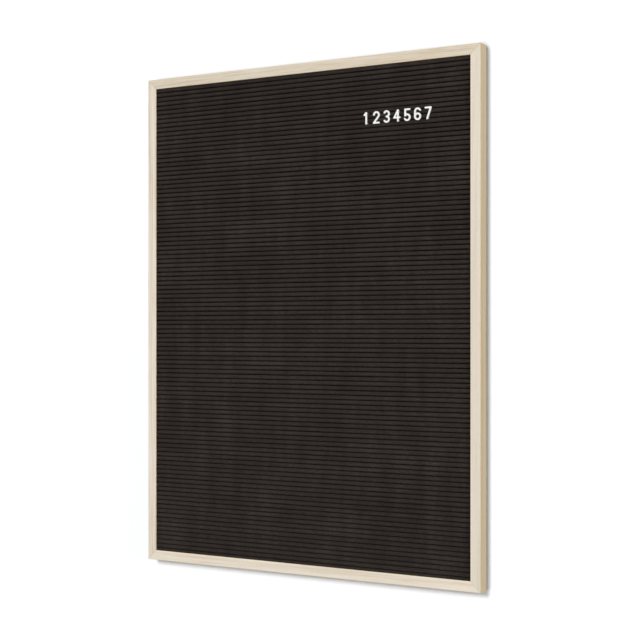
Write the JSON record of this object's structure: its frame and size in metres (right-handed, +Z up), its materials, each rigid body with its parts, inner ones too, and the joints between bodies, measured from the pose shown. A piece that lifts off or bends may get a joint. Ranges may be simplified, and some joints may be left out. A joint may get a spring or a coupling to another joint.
{
  "type": "felt letter board",
  "caption": "Wall board of black felt tucked into horizontal grooves, in a slim mitred wooden frame, with push-in plastic numerals and sawtooth hangers behind.",
  "frame": {"origin": "centre of the bounding box at the lower edge of the frame, halfway through the depth over the hangers", "axes": "+Z up, +X to the right as seen from the front, -Y out of the front face towards the viewer"},
  "size_m": [0.6, 0.0246, 0.8],
  "materials": {
    "rail_wood": "pale straight-grained wood, satin",
    "felt": "black pressed felt",
    "fibre_board": "bare sawn fibre board",
    "hardboard": "smooth brown hardboard",
    "zinc_steel": "zinc plated",
    "brassed_steel": "thin brass plating on stamped steel",
    "rubber": "soft grey",
    "white_plastic": "moulded, satin"
  },
  "bodies": {
    "root": {"frame_rail_top": "rail_wood", "frame_rail_bottom": "rail_wood", "frame_rail_left": "rail_wood", "frame_rail_right": "rail_wood", "felt_covering": "felt", "slotted_board": "fibre_board", "back_panel": "hardboard", "framer_point_top_1": "zinc_steel", "framer_point_top_2": "zinc_steel", "framer_point_top_3": "zinc_steel", "framer_point_bottom_1": "zinc_steel", "framer_point_bottom_2": "zinc_steel", "framer_point_bottom_3": "zinc_steel", "framer_point_left_1": "zinc_steel", "framer_point_left_2": "zinc_steel", "framer_point_left_3": "zinc_steel", "framer_point_left_4": "zinc_steel", "framer_point_right_1": "zinc_steel", "framer_point_right_2": "zinc_steel", "framer_point_right_3": "zinc_steel", "framer_point_right_4": "zinc_steel", "v_nail_top_left": "zinc_steel", "v_nail_top_right": "zinc_steel", "v_nail_bottom_left": "zinc_steel", "v_nail_bottom_right": "zinc_steel", "sawtooth_hanger_left": "brassed_steel", "sawtooth_hanger_right": "brassed_steel", "hanger_nail_left_outer": "brassed_steel", "hanger_nail_left_inner": "brassed_steel", "hanger_nail_right_inner": "brassed_steel", "hanger_nail_right_outer": "brassed_steel", "wall_bumper_left": "rubber", "wall_bumper_right": "rubber", "digit_1": "white_plastic", "digit_2": "white_plastic", "digit_3": "white_plastic", "digit_4": "white_plastic", "digit_5": "white_plastic", "digit_6": "white_plastic", "digit_7": "white_plastic"}
  },
  "joints": []
}
